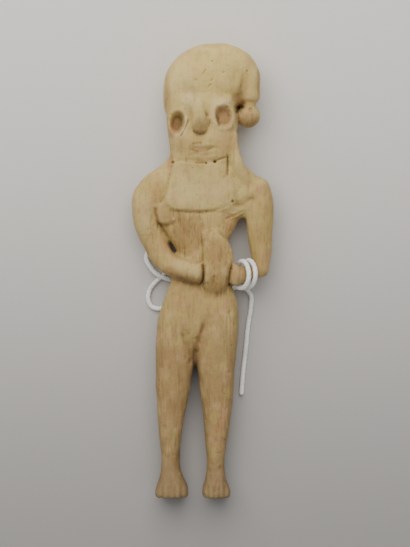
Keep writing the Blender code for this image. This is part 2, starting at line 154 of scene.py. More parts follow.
# Pocks from grit and straw: how many, and their radius with the shares of it that they vary
# between. A rare one is larger. The depth and the wall are shares of a pock's own radius.
POCKS = 520
POCK_RADIUS = 0.38
POCK_SPREAD = (0.5, 1.0)
POCK_EXTRA = 2.0
POCK_RARITY = 6
POCK_DEPTH = (0.12, 0.34)
POCK_REACH = 1.3
POCK_WALL = (0.35, 1.2)

# Noise: its lattice's size, how that is turned and shifted, and its strength.
LATTICE_SIZE = 32
LATTICE_TURN = np.array(((0.36, 0.48, -0.80), (-0.80, 0.60, 0.00), (0.48, 0.64, 0.60)))
LATTICE_SHIFT = 1000.0
NOISE_STRENGTH = 1.7

# Unevenness in layers, in units: how wide the lumps are, how deep, and the layer's seed.
HAND_LAYERS = ((5.5, 0.17, 1), (2.3, 0.06, 2))
GRIT_LAYERS = ((0.9, 0.022, 3), (0.45, 0.014, 6))
DRAWN_LAYERS = (((1.1, 9.0, 2.4), 0.055, 4), ((0.6, 5.0, 1.4), 0.04, 5))
SCAR_LAYERS = ((1.3, 0.20, 11), (0.6, 0.10, 12))
RAGGED_LAYERS = ((1.6, 0.30, 21), (0.6, 0.15, 22))
BRUSH_SEED = 31
POCK_SEED = 41

# Clay drawn down the body: where it sets in, counted downward, and its share above that.
DRAWN_FROM = (-18.0, 4.0)
DRAWN_ABOVE = 0.3

# The studio, in metres. The floor is painted darker toward the feet, as shade where the light
# falls off; that shade is counted downward. A light has a name, a share of the power, a side, a
# place and a colour.
SENSOR_HEIGHT = 36.0
FACE_HEIGHT = 0.008
FLOOR_GAP = 0.00005
FLOOR_SHADE = (-0.09, 0.10)
CAMERA_DISTANCE = 0.5
CLIP_START = 0.01
AIR_COLOUR = (0.90, 0.95, 1.0)
AIR_STRENGTH = 0.42
LIGHTS = (
    ("main light", 1.0, 0.55, (-0.07, 0.25, 0.36), (1.0, 0.985, 0.96)),
    ("fill light", 0.12, 0.70, (0.50, -0.40, 0.60), (0.95, 0.97, 1.0)),
)


def photo_place(pixel):
    """The place on the front, in units, of a pixel of the photograph."""
    x, y = pixel
    return ((x - ORIGIN_PIXEL[0]) * MM_PER_PIXEL, (ORIGIN_PIXEL[1] - y) * MM_PER_PIXEL)


class Value:
    """A node's output, on which sums are written as plain Python."""

    def __init__(self, finish, socket):
        self.finish = finish
        self.socket = socket

    def maths(self, operation, *values):
        settings = {"operation": operation}
        return self.finish.node("ShaderNodeMath", settings, dict(enumerate(values)))

    def __add__(self, other):
        return self.maths("ADD", self, other)

    def __rsub__(self, other):
        return self.maths("SUBTRACT", other, self)

    def __mul__(self, other):
        return self.maths("MULTIPLY", self, other)


class Finish:
    """A material under construction, with one Principled shader."""

    def __init__(self, name, roughness):
        self.material = bpy.data.materials.new(name)
        self.material.use_nodes = True
        self.nodes = self.material.node_tree.nodes
        self.links = self.material.node_tree.links
        self.shader = self.nodes["Principled BSDF"]
        self.shader.inputs["Roughness"].default_value = roughness

    def node(self, kind, settings=None, inputs=None, output=0):
        """One node: its settings, then its sockets' values or links. Returns an output."""
        node = self.nodes.new(kind)
        for name, setting in (settings or {}).items():
            setattr(node, name, setting)
        for key, given in (inputs or {}).items():
            if isinstance(given, Value):
                self.links.new(given.socket, node.inputs[key])
            else:
                node.inputs[key].default_value = given
        return Value(self, node.outputs[output])

    def place(self):
        """The place on the object, in metres."""
        return self.node("ShaderNodeTexCoord", output="Object")

    def stretched(self, stretch):
        """The place on the object with each axis multiplied."""
        return self.node(
            "ShaderNodeVectorMath",
            {"operation": "MULTIPLY"},
            {0: self.place(), 1: stretch},
        )

    def noise(self, vector, scale, detail=3.0, rough=0.55):
        """Smooth noise from 0 to 1."""
        return self.node(
            "ShaderNodeTexNoise",
            inputs={"Vector": vector, "Scale": scale, "Detail": detail, "Roughness": rough},
        )

    def between(self, value, low, high):
        """0 below low, 1 above high, and smooth between them."""
        return self.node(
            "ShaderNodeMapRange",
            {"interpolation_type": "SMOOTHSTEP"},
            {"Value": value, "From Min": low, "From Max": high},
        )

    def painted(self, name):
        """A value that is painted on the mesh's points."""
        return self.node("ShaderNodeAttribute", {"attribute_name": name}, output="Fac")

    def mixed(self, amount, first, second):
        """Two colours mixed by an amount."""
        return self.node(
            "ShaderNodeMix",
            {"data_type": "RGBA"},
            {"Factor": amount, "A": colour_of(first), "B": colour_of(second)},
            output="Result",
        )

    def feed(self, name, value):
        """Links a value that changes over the surface to one of the shader's sockets."""
        self.links.new(value.socket, self.shader.inputs[name])

    def bump(self, height, depth, under=None):
        """Raises the surface's shading by a height, at most depth metres deep."""
        inputs = {"Height": height, "Distance": depth, "Strength": 1.0}
        if under:
            inputs["Normal"] = under
        return self.node("ShaderNodeBump", inputs=inputs)


def colour_of(given):
    """A colour with its alpha, or a value as it is."""
    if isinstance(given, Value):
        return given
    return (*given, 1.0)


def smooth_rows(rows, pieces):
    """Rows read at even steps from a smooth curve through the given ones."""
    rows = np.asarray(rows, float)
    steps = np.linalg.norm(np.diff(rows, axis=0), axis=1)
    at = np.concatenate([[0.0], np.cumsum(steps)])
    slope = np.gradient(rows, at, axis=0)
    fine = np.linspace(0.0, at[-1], pieces + 1)
    low = np.clip(np.searchsorted(at, fine, side="right") - 1, 0, len(at) - 2)
    span = (at[low + 1] - at[low])[:, None]
    t = (fine - at[low])[:, None] / span
    start = (1 + 2 * t) * (1 - t) ** 2 * rows[low] + t * (1 - t) ** 2 * span * slope[low]
    end = t**2 * (3 - 2 * t) * rows[low + 1] + t**2 * (t - 1) * span * slope[low + 1]
    return start + end


def path_length(points):
    return float(np.linalg.norm(np.diff(points, axis=0), axis=1).sum())


def wrist_turns():
    """The string's turns round the wrist, in units."""
    heading = Vector(WRIST_HEADING).normalized()
    upward = heading.cross(Vector((0, 0, 1))).normalized()
    forward = upward.cross(heading)
    points = []
    for step in range(round(WRIST_TURNS * POINTS_PER_TURN) + 1):
        turn = step / POINTS_PER_TURN
        angle = math.pi - math.tau * turn
        along = heading * WRIST_TURN_PITCH * (turn - 0.5)
        out = forward * math.cos(angle) + upward * math.sin(angle)
        points.append(Vector(WRIST_MIDDLE) + along + out * WRIST_TURN_RADIUS)
    return points


def across(path):
    """Two directions square to the path at each of its points, which don't turn about it."""
    heading = np.gradient(path, axis=0)
    heading /= np.linalg.norm(heading, axis=1)[:, None]
    side = np.cross(heading[0], (0.0, 0.0, 1.0))
    sides = []
    for direction in heading:
        side = side - direction * side.dot(direction)
        side = side / np.linalg.norm(side)
        sides.append(side)
    sides = np.array(sides)
    return sides, np.cross(heading, sides)


def new_piece(name, mesh, finish):
    """A mesh piece on the object's one body, shaded smooth."""
    mesh.materials.clear()
    mesh.materials.append(finish.material)
    mesh.shade_smooth()
    piece = bpy.data.objects.new(name, mesh)
    bpy.context.scene.collection.objects.link(piece)
    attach(piece, BODY)
    return piece


def twisted_tube(path, radius, pitch):
    """A tube with a lobe for each ply, which turn about its path. Its ends are round."""
    sides, ups = across(path)
    steps = np.linalg.norm(np.diff(path, axis=0), axis=1)
    at = np.concatenate([[0.0], np.cumsum(steps)])
    angles = np.arange(STRING_RING) * math.tau / STRING_RING
    turned = angles[None, :] - (at * math.tau / pitch)[:, None]
    lobe = 1.0 + PLY_GROOVE * (np.abs(np.cos(turned * PLIES / 2)) - MEAN_LOBE)
    from_end = np.minimum(at, at[-1] - at) + radius * END_BLUNTNESS
    rounding = np.sqrt(1.0 - np.clip(1.0 - from_end / radius, 0.0, 1.0) ** 2)
    swell = np.sin(at * math.tau / (pitch * SWELL_PITCHES)) * np.sin(at * SWELLS_PER_METRE)
    uneven = 1.0 + PLY_UNEVEN * swell
    reach = radius * lobe * (rounding * uneven)[:, None]
    rings = (
        path[:, None, :]
        + sides[:, None, :] * (reach * np.cos(angles))[:, :, None]
        + ups[:, None, :] * (reach * np.sin(angles))[:, :, None]
    )
    faces = []
    for ring, corner in itertools.product(range(len(path) - 1), range(STRING_RING)):
        first = ring * STRING_RING
        after = (corner + 1) % STRING_RING
        second = first + STRING_RING
        faces.append((first + corner, first + after, second + after, second + corner))
    last = (len(path) - 1) * STRING_RING
    faces.append(tuple(reversed(range(STRING_RING))))
    faces.append(tuple(range(last, last + STRING_RING)))
    mesh = bpy.data.meshes.new("tie string")
    mesh.from_pydata(rings.reshape(-1, 3).tolist(), [], faces)
    return mesh


def cotton(settings):
    """Undyed cotton with fine fibres, a few soiled stretches, painted shade between the fibres and a
    soft nap.
    """
    finish = Finish("cotton string", 0.95)
    soil = finish.between(finish.noise(finish.place(), 260.0), 0.45, 0.72)
    fibre = finish.noise(finish.place(), 5200.0, detail=4.0, rough=0.7)
    clean = finish.mixed(soil * 0.75, settings.colour, settings.soil_and_shade_colour)
    # Painted shade between the fibres: darker where their bumps are low.
    shade = finish.between(fibre, 0.30, 0.62)
    finish.feed("Base Color", finish.mixed(shade, settings.soil_and_shade_colour, clean))
    finish.shader.inputs["Sheen Weight"].default_value = 0.25
    finish.feed("Normal", finish.bump(fibre, FIBRE_DEPTH))
    return finish


class Clay:
    """The figure's fine surface, in units, pressed and cut by hand-sized tools."""

    def __init__(self, mesh):
        count = len(mesh.vertices)
        points = np.empty(count * 3, np.float32)
        normals = np.empty(count * 3, np.float32)
        mesh.vertices.foreach_get("co", points)
        mesh.vertices.foreach_get("normal", normals)
        self.mesh = mesh
        self.points = points.reshape(-1, 3).astype(float) / UNIT
        self.normals = normals.reshape(-1, 3).astype(float)
        over = self.points[:, 2:] * UNIT - FACE_HEIGHT
        self.flat = self.points[:, :2] * (1.0 + over / CAMERA_DISTANCE)
        self.front = smooth_between(self.normals[:, 2], *FRONT_SLOPE)
        self.down = np.zeros(count)
        self.out = np.zeros(count)

    def near(self, low, high):
        """Which points lie over a box of the front, x and y, as seen from the front."""
        inside = np.all((self.flat > low) & (self.flat < high), axis=1)
        return np.flatnonzero(inside & (self.front > 0.0))

    def cut(self, half_width, depth, route):
        """A stroke of a tool, which fades at both its ends."""
        route = np.array(route, float)
        reach = half_width * STROKE_REACH
        some = self.near(route.min(axis=0) - reach, route.max(axis=0) + reach)
        gap, share = to_line(self.flat[some], route)
        ends = np.clip(np.minimum(share, 1.0 - share) * STROKE_FADE + STROKE_END, 0.0, 1.0)
        self.down[some] += depth * ends * np.exp(-((gap / half_width) ** 2)) * self.front[some]

    def hole(self, centre, radius, depth):
        """A round pit with steep walls."""
        centre = np.array(centre, float)
        some = self.near(centre - radius * PIT_REACH, centre + radius * PIT_REACH)
        gap = np.linalg.norm(self.flat[some] - centre, axis=1) / radius
        self.down[some] += depth * (1.0 - smooth_between(gap, *PIT_WALL)) * self.front[some]

    def oval(self, centre, half_width, half_height, lean):
        """How far each point lies from an oval's middle: 1 is its edge. Lean is in degrees."""
        turn = math.radians(lean)
        across_it = self.flat[:, 0] - centre[0]
        along_it = self.flat[:, 1] - centre[1]
        u = across_it * math.cos(turn) - along_it * math.sin(turn)
        v = across_it * math.sin(turn) + along_it * math.cos(turn)
        return np.hypot(u / half_width, v / half_height)

    def press(self):
        """Moves the mesh's points to where the work has left them."""
        points = self.points + self.normals * self.out[:, None]
        points[:, 2] -= self.down
        low = np.array(FIGURE_LOW) / UNIT
        high = np.array(FIGURE_HIGH) / UNIT
        points = np.clip(points, low, high) * UNIT
        self.mesh.vertices.foreach_set("co", points.astype(np.float32).ravel())
        self.mesh.update()


def smooth_between(value, low, high):
    """0 below low, 1 above high, and smooth between them."""
    t = np.clip((value - low) / (high - low), 0.0, 1.0)
    return t * t * (3.0 - 2.0 * t)


def to_line(points, route):
    """Each point's distance to a route of straight pieces, and its share of the way along."""
    lengths = np.linalg.norm(np.diff(route, axis=0), axis=1)
    starts = np.concatenate([[0.0], np.cumsum(lengths)])
    best = np.full(len(points), np.inf)
    share = np.zeros(len(points))
    for first, second, start, length in zip(route, route[1:], starts, lengths):
        t = np.clip((points - first) @ (second - first) / length**2, 0.0, 1.0)
        gap = np.linalg.norm(points - first - t[:, None] * (second - first), axis=1)
        nearer = gap < best
        best[nearer] = gap[nearer]
        share[nearer] = (start + t[nearer] * length) / starts[-1]
    return best, share


def cloud(points, grain, seed):
    """Smooth noise, mostly from -1 to 1, with lumps about a grain across."""
    size = LATTICE_SIZE
    slopes = np.random.default_rng(seed).normal(size=(size, size, size, 3))
    slopes /= np.linalg.norm(slopes, axis=3, keepdims=True)
    at = (np.asarray(points) / np.asarray(grain)) @ LATTICE_TURN + LATTICE_SHIFT
    cell = np.floor(at).astype(int)
    part = at - cell
    ease = part**3 * (part * (part * 6.0 - 15.0) + 10.0)
    total = np.zeros(len(at))
    for corner in itertools.product((0, 1), repeat=3):
        weight = np.prod(np.where(corner, ease, 1.0 - ease), axis=1)
        x, y, z = ((cell + corner) % size).T
        total += weight * np.einsum("ij,ij->i", slopes[x, y, z], part - corner)
    return total * NOISE_STRENGTH


def clouds(points, layers):
    """Layers of smooth noise, added up."""
    return sum(cloud(points, grain, seed) * depth for grain, depth, seed in layers)


# Strokes on the front, in units: half width, depth, then the places they run through.
# A stroke of negative depth fills.
STROKES = (
    (0.70, -0.20, ((-12.6, 18.4), (-11.2, 19.6), (-9.4, 19.2), (-8.4, 17.8))),
    (0.70, -0.35, ((-7.9, 17.0), (-7.8, 15.4), (-8.4, 14.2))),
    (0.80, -0.22, ((12.4, 56.4), (11.6, 53.8), (10.6, 51.4))),
    (0.80, -0.30, ((-7.4, 31.5), (-4.6, 31.4), (-1.0, 31.1), (2.2, 31.3))),
    (0.28, 0.14, ((-8.3, 31.3), (-6.6, 31.8), (-4.6, 31.4), (-2.2, 31.1))),
    (0.32, 0.34, ((-2.4, 31.1), (-0.6, 31.0), (1.4, 31.0))),
    (0.32, 0.45, ((2.6, 31.4), (3.6, 31.6), (5.4, 32.3), (7.3, 32.8))),
    (0.26, 0.70, ((7.2, 33.4), (7.25, 31.0), (7.2, 27.2))),
    (0.30, 0.32, ((-8.4, 31.3), (-9.5, 27.6), (-10.0, 24.7), (-10.8, 21.9), (-12.6, 18.9))),
    (0.32, 0.45, ((-13.2, 18.4), (-13.6, 16.3), (-13.0, 14.5), (-11.4, 12.3), (-9.8, 9.4))),
    (0.50, 0.18, ((-7.0, 17.4), (-7.1, 15.4), (-8.0, 13.8), (-9.8, 13.0), (-11.6, 13.0))),
    (0.38, 0.22, ((-7.7, 17.5), (-5.1, 17.2), (-2.2, 16.9), (0.7, 17.0), (3.6, 17.5))),
    (0.38, 0.16, ((3.4, 17.4), (5.9, 18.1), (7.9, 19.2))),
    (0.90, 0.22, ((14.8, 21.4), (13.2, 20.4), (11.6, 19.3), (8.9, 18.3))),
    (0.34, 0.30, ((11.8, 17.2), (9.8, 16.3), (8.2, 15.6), (6.4, 15.0))),
    (0.34, 0.85, ((-0.1, 2.3), (0.3, 0.3), (0.1, -2.6), (-0.9, -4.1))),
    (0.26, 0.28, ((0.1, 1.4), (-0.1, 4.6), (-0.1, 6.9), (-0.5, 9.5), (-0.5, 11.2))),
    (0.32, 0.18, ((-0.5, 11.1), (0.7, 12.0), (2.4, 12.3), (4.2, 11.8), (5.7, 10.4))),
    (0.28, 0.50, ((8.4, 2.2), (7.7, -0.9), (7.3, -4.2))),
    (0.50, 0.26, ((1.2, -13.4), (0.2, -16.0), (-0.6, -18.2), (-1.6, -21.2))),
    (0.50, 0.18, ((-6.0, -17.6), (-4.9, -20.2), (-3.8, -22.0))),
    (0.24, 0.18, ((2.2, 43.6), (1.8, 41.8), (1.3, 40.5))),
    (0.34, 0.32, ((-2.6, 40.5), (-2.0, 39.7), (-0.8, 39.3), (0.4, 39.5), (1.2, 40.4))),
    (0.24, 0.45, ((-4.0, 43.6), (-4.6, 41.9), (-5.4, 40.2), (-6.3, 38.6))),
    (0.40, 0.34, ((-2.9, 36.5), (-1.6, 36.7), (-0.2, 36.9))),
    (0.42, 0.28, ((-3.6, 35.0), (-1.6, 34.4), (0.9, 34.5), (3.0, 35.6))),
    (0.32, 0.35, ((-9.6, 7.3), (-7.9, 4.5), (-5.3, 3.4), (-2.6, 2.5), (-0.3, 2.1))),
)

# Pits made by a point: place, radius and depth.
PITS = (
    ((-8.5, 31.2), 0.50, 0.90),
    ((3.55, 31.45), 0.50, 1.10),
    ((1.0, 31.0), 0.34, 0.40),
    ((13.9, 46.4), 0.80, 0.45),
    ((8.7, 20.0), 0.50, 0.70),
    ((2.7, 60.4), 0.34, 0.25),
    ((12.8, 57.5), 0.34, 0.25),
    ((-1.9, 54.9), 0.30, 0.18),
    ((7.3, 59.0), 0.30, 0.18),
)

# Nicks in the turban, each leaning: its two ends.
NICKS = (
    ((0.0, 56.4), (1.0, 58.0)),
    ((1.6, 52.8), (2.6, 53.8)),
    ((2.4, 54.6), (2.9, 55.4)),
    ((5.8, 56.8), (6.2, 57.4)),
)
NICK_HALF_WIDTH = 0.26
NICK_DEPTH = 0.24

# Fine strokes scattered over the front: the zone's corners, how many, how long, how deep.
BRUSHED_ZONES = (
    ((-9.0, 4.0), (0.0, 17.0), 120, 4.0, 0.08),
    ((-18.5, 8.0), (-12.0, 25.0), 70, 3.0, 0.09),
    ((13.0, 3.0), (19.0, 25.0), 80, 3.0, 0.09),
    ((-13.0, -57.0), (9.0, -14.0), 380, 4.6, 0.07),
    ((-12.0, -15.0), (10.0, -5.0), 110, 3.2, 0.07),
    ((0.4, -6.0), (8.4, 3.0), 70, 2.4, 0.09),
    ((0.0, 2.0), (8.4, 12.0), 50, 3.0, 0.08),
    ((-9.5, 18.0), (9.0, 30.0), 60, 2.4, 0.05),
    ((-11.0, 51.0), (16.0, 63.0), 60, 2.2, 0.04),
    ((-9.5, 32.0), (9.5, 50.0), 50, 1.8, 0.04),
)
BRUSH_HALF_WIDTH = 0.17

# How a fine stroke varies, in shares: of its length, its width and its depth, then how far it
# leans and bends for its length.
BRUSH_LENGTHS = (0.4, 1.3)
BRUSH_WIDTHS = (0.7, 1.5)
BRUSH_DEPTHS = (0.4, 1.5)
BRUSH_LEAN = 0.10
BRUSH_BEND = 0.05

# Toes: the left and right side of each foot, and the lines between its toes.
FEET = ((-13.5, -4.2), (-0.1, 8.1))
TOES = 5
TOE_LINE = (-61.4, -65.2)
TOE_LINE_HALF_WIDTH = 0.24
TOE_LINE_DEPTH = 0.09

# The deep dark gap between the face, the turban's roll and the knob: place, radius, depth.
KNOB_GAPS = (
    ((10.1, 47.1), 0.85, 3.4),
    ((10.9, 47.2), 0.70, 3.0),
    ((11.6, 47.1), 0.50, 1.6),
    ((9.9, 46.0), 0.60, 2.6),
)
KNOB_CREASE = (0.32, 1.5, ((9.8, 45.8), (10.3, 43.6), (10.5, 41.8), (10.5, 39.8)))

# Eyes: place, half width and half height of the hollow, lean, depth of the hollow, and how
# much deeper it is to the right.
EYES = (
    ((-7.25, 42.1), 2.05, 3.30, 12.0, 0.9, 0.6),
    ((6.0, 43.9), 2.60, 3.20, -14.0, 0.3, -0.6),
)
EYE_RIM = (0.6, 1.12)

# Where the clay is pressed flatter than the solid, or filled where the depth is negative:
# place, half width, half height and depth.
FLATTENED = (
    ((-10.5, 16.0), 2.9, 2.4, 0.60),
    ((9.4, 16.6), 3.6, 1.8, 0.45),
    ((-0.5, 42.6), 2.6, 3.0, 0.40),
    ((2.3, 41.8), 0.9, 2.4, 0.30),
    ((5.8, 47.5), 2.0, 0.9, -0.40),
    ((-7.3, 45.6), 1.5, 0.9, -0.35),
    ((13.4, 47.6), 2.6, 1.2, -0.35),
    ((-0.4, 33.6), 3.4, 0.7, 0.18),
)
FLATTENED_EDGE = (0.3, 1.2)

# Where a finger has rubbed the forms down: place, half width, half height and how far. Only
# what lies over a height is rubbed.
RUBBED = (
    ((-2.0, -23.8), 2.2, 3.4, 1.0),
    ((9.4, 16.6), 4.0, 2.4, 0.9),
    ((-11.0, 18.6), 2.8, 1.4, 0.8),
)
RUB_EDGE = (0.5, 1.2)
RUB_TURNS = 50
RUB_HEIGHT = (3.0, 5.0)

# The broken breast: the scar's middle, half width, half height and lean, its rim and depth.
BREAST_SCAR = ((9.0, 14.2), 3.3, 3.6, -20.0)
SCAR_EDGE = (0.75, 1.15)
SCAR_DEPTH = 0.18


def copied(node, name):
    """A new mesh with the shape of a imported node."""
    mesh = bpy.data.objects[node].data.copy()
    mesh.name = name
    return mesh


def changed_by(mesh, modifier, settings):
    """The mesh as a modifier leaves it."""
    bench = bpy.data.objects.new("bench", mesh)
    bpy.context.scene.collection.objects.link(bench)
    change = bench.modifiers.new(modifier.lower(), modifier)
    for name, setting in settings.items():
        setattr(change, name, setting)
    graph = bpy.context.evaluated_depsgraph_get()
    result = bpy.data.meshes.new_from_object(bench.evaluated_get(graph))
    bpy.data.objects.remove(bench)
    bpy.data.meshes.remove(mesh)
    return result


def remeshed(mesh, grain, softening):
    """The mesh in even squares about a grain across, then smoothed a number of times."""
    settings = {"mode": "VOXEL", "voxel_size": grain * UNIT, "adaptivity": 0.0}
    mesh = changed_by(mesh, "REMESH", settings)
    return changed_by(mesh, "SMOOTH", {"factor": 0.5, "iterations": softening})


def shape_deeply(clay):
    """The forms that need depth: eyes, places pressed flat or filled, the gap by the knob."""
    for centre, half_width, half_height, lean, depth, tilt in EYES:
        reach = clay.oval(centre, half_width, half_height, lean)
        side = np.clip((clay.flat[:, 0] - centre[0]) / half_width, -1.0, 1.0)
        bowl = depth * (1.0 + tilt * side) * (1.0 - smooth_between(reach, *EYE_RIM))
        clay.down += bowl * clay.front
    for centre, half_width, half_height, depth in FLATTENED:
        reach = clay.oval(centre, half_width, half_height, 0.0)
        clay.down += depth * (1.0 - smooth_between(reach, *FLATTENED_EDGE)) * clay.front
    for centre, radius, depth in KNOB_GAPS:
        clay.hole(centre, radius, depth)
    clay.cut(*KNOB_CREASE)


def rub_down(clay):
    """Rubs some of the forms down, each point toward the middle of those round it."""
    smooth = spread(clay.points, edges_of(clay.mesh), RUB_TURNS)
    for centre, half_width, half_height, share in RUBBED:
        reach = clay.oval(centre, half_width, half_height, 0.0)
        worn = share * (1.0 - smooth_between(reach, *RUB_EDGE))
        worn *= smooth_between(clay.points[:, 2], *RUB_HEIGHT)
        clay.points += worn[:, None] * (smooth - clay.points)


def carve_marks(clay, depth):
    """Strokes, nicks, pits, toe lines and the broken breast, after the photograph."""
    for half_width, deep, route in STROKES:
        clay.cut(half_width, deep * depth, route)
    for route in NICKS:
        clay.cut(NICK_HALF_WIDTH, NICK_DEPTH * depth, route)
    for centre, radius, deep in PITS:
        clay.hole(centre, radius, deep * depth)
    for left, right in FEET:
        for gap in range(1, TOES):
            x = left + (right - left) * gap / TOES
            clay.cut(TOE_LINE_HALF_WIDTH, TOE_LINE_DEPTH * depth, [(x, y) for y in TOE_LINE])
    scar = 1.0 - smooth_between(clay.oval(*BREAST_SCAR), *SCAR_EDGE)
    clay.down += scar * (SCAR_DEPTH + clouds(clay.points, SCAR_LAYERS)) * clay.front


def brush(clay, depth):
    """Fine strokes of a wet brush or a stick, roughly along the figure."""
    rng = np.random.default_rng(BRUSH_SEED)
    for low, high, count, length, deep in BRUSHED_ZONES:
        for _ in range(count):
            x, y = rng.uniform(low, high)
            reach = length * rng.uniform(*BRUSH_LENGTHS) / 2
            lean = rng.normal(0.0, BRUSH_LEAN) * reach
            bend = rng.normal(0.0, BRUSH_BEND) * reach
            route = ((x - lean, y - reach), (x + bend, y), (x + lean, y + reach))
            half_width = BRUSH_HALF_WIDTH * rng.uniform(*BRUSH_WIDTHS)
            clay.cut(half_width, deep * rng.uniform(*BRUSH_DEPTHS) * depth, route)


def pock(clay, depth):
    """Small pits all over, where grit and straw have come out of the clay."""
    rng = np.random.default_rng(POCK_SEED)
    tree = KDTree(len(clay.points))
    for index, point in enumerate(clay.points):
        tree.insert(point, index)
    tree.balance()
    for _ in range(POCKS):
        centre = clay.points[rng.integers(len(clay.points))]
        usual = POCK_RADIUS * rng.uniform(*POCK_SPREAD)
        radius = usual * (1.0 + POCK_EXTRA * rng.random() ** POCK_RARITY)
        found = tree.find_range(centre, radius * POCK_REACH)
        some = np.array([index for _, index, _ in found])
        gaps = np.array([gap for _, _, gap in found]) / radius
        deep = radius * rng.uniform(*POCK_DEPTH) * depth
        clay.out[some] -= deep * (1.0 - smooth_between(gaps, *POCK_WALL))


def weather(clay, depth):
    """Hand-modelled unevenness, clay drawn down the body, and fine grit."""
    hand = clouds(clay.points, HAND_LAYERS)
    grit = clouds(clay.points, GRIT_LAYERS)
    lower = smooth_between(-clay.points[:, 1], *DRAWN_FROM) * (1.0 - DRAWN_ABOVE) + DRAWN_ABOVE
    clay.out += (hand + grit + clouds(clay.points, DRAWN_LAYERS) * lower) * depth


def figure_mesh(settings):
    """The figure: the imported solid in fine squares, carved, weathered and thinned out."""
    mesh = remeshed(copied(FIGURE_NODE, "figure work"), FIRST_GRAIN, FIRST_SOFTENING)
    clay = Clay(mesh)
    shape_deeply(clay)
    rub_down(clay)
    clay.press()
    mesh = remeshed(mesh, SECOND_GRAIN, SECOND_SOFTENING)
    clay = Clay(mesh)
    carve_marks(clay, settings.mark_depth)
    brush(clay, settings.weathering)
    pock(clay, settings.weathering)
    weather(clay, settings.weathering)
    clay.press()
    mesh.calc_loop_triangles()
    ratio = FIGURE_TRIANGLES / len(mesh.loop_triangles)
    mesh = changed_by(mesh, "DECIMATE", {"ratio": ratio})
    mesh.name = "terracotta figure"
    return mesh


def edges_of(mesh):
    """The two ends of every edge, as numbers of the mesh's points."""
    edges = np.empty(len(mesh.edges) * 2, np.int32)
    mesh.edges.foreach_get("vertices", edges)
    return edges.reshape(-1, 2)


def spread(values, edges, turns):
    """Values averaged with those of the neighbouring points, a number of times."""
    count = len(values)
    ones = np.bincount(edges.ravel(), minlength=count)
    for _ in range(turns):
        total = np.empty_like(values)
        for axis in range(values.shape[1]):
            one = np.bincount(edges[:, 0], values[edges[:, 1], axis], count)
            two = np.bincount(edges[:, 1], values[edges[:, 0], axis], count)
            total[:, axis] = one + two
        values = (values + total) / (ones + 1)[:, None]
    return values


def paint(mesh, name, values):
    """Keeps a value on each point of the mesh, for the material to read."""
    layer = mesh.attributes.new(name, "FLOAT", "POINT")
    layer.data.foreach_set("value", values.astype(np.float32))


# Soil with painted shade, and wear, follow the relief: how many times the skin is smoothed for
# its near and its far surroundings, then how far it lies under them, where soil and painted shade
# darken its hollows and creases, or over them where it is worn, in units.
NEAR_TURNS = 4
FAR_TURNS = 26
CREASE_DEPTH = (0.02, 0.13)
HOLLOW_DEPTH = (0.05, 0.55)
WORN_HEIGHT = (0.06, 0.35)

# Patches of the skin, in units: place, half width, half height, lean and strength. Flushes are
# where the clay fired pinker or has lost its skin. Stains are browner, and some of them are
# painted shade. Paler patches are paler clay, and some of them are painted highlights. The last
# patches are painted shade in the darkest places.
PATCH_EDGE = (0.5, 1.3)
PAINTED_SHADE_RAGGEDNESS = 0.5
FLUSHES = (
    ((8.8, 13.6), 3.0, 3.2, -20.0, 0.6),
    ((10.2, -0.6), 2.0, 3.0, 0.0, 0.35),
    ((-9.4, 31.0), 1.0, 2.4, 10.0, 0.9),
    ((6.1, 44.4), 2.2, 3.0, -14.0, 0.9),
    ((-8.4, 41.2), 1.3, 2.6, 12.0, 1.0),
    ((-10.2, 50.5), 0.8, 5.0, 0.0, 0.6),
    ((10.6, 49.0), 1.6, 1.0, -20.0, 0.8),
    ((13.4, 53.0), 2.6, 6.0, 0.0, 0.20),
    ((16.2, 54.0), 0.7, 6.0, 0.0, 0.60),
    ((-12.6, 23.0), 1.8, 4.0, 20.0, 0.4),
    ((16.4, 23.6), 1.4, 2.0, 0.0, 0.6),
    ((-11.0, 7.0), 1.2, 2.6, -25.0, 0.5),
    ((6.2, 38.0), 3.6, 4.6, 0.0, 0.25),
    ((4.6, -46.0), 2.2, 9.0, 0.0, 0.30),
)
PALE_AND_HIGHLIGHT_PATCHES = (
    ((-3.3, 48.6), 3.2, 2.8, 0.0, 0.7),
    ((5.6, 48.4), 3.4, 1.8, 0.0, 0.9),
    ((8.6, 18.0), 1.4, 1.2, -24.0, 0.3),
    # A painted highlight on the left eye's rim.
    ((-5.1, 42.2), 0.7, 3.6, 9.0, 1.0),
    ((-7.6, 38.6), 1.8, 0.7, 0.0, 0.6),
    # A painted highlight along the face's right edge.
    ((9.5, 43.6), 0.7, 4.6, 0.0, 1.0),
    # A painted highlight on the right eye's rim.
    ((2.9, 44.6), 0.7, 2.6, 0.0, 0.8),
    ((6.4, 39.9), 2.2, 0.8, 0.0, 0.5),
    ((-6.0, 55.0), 4.0, 6.0, 0.0, 0.45),
    ((-0.6, 23.4), 9.0, 6.0, 0.0, 0.35),
    # A painted highlight on the left arm's lit side.
    ((-16.6, 14.0), 2.0, 9.0, 0.0, 0.35),
)
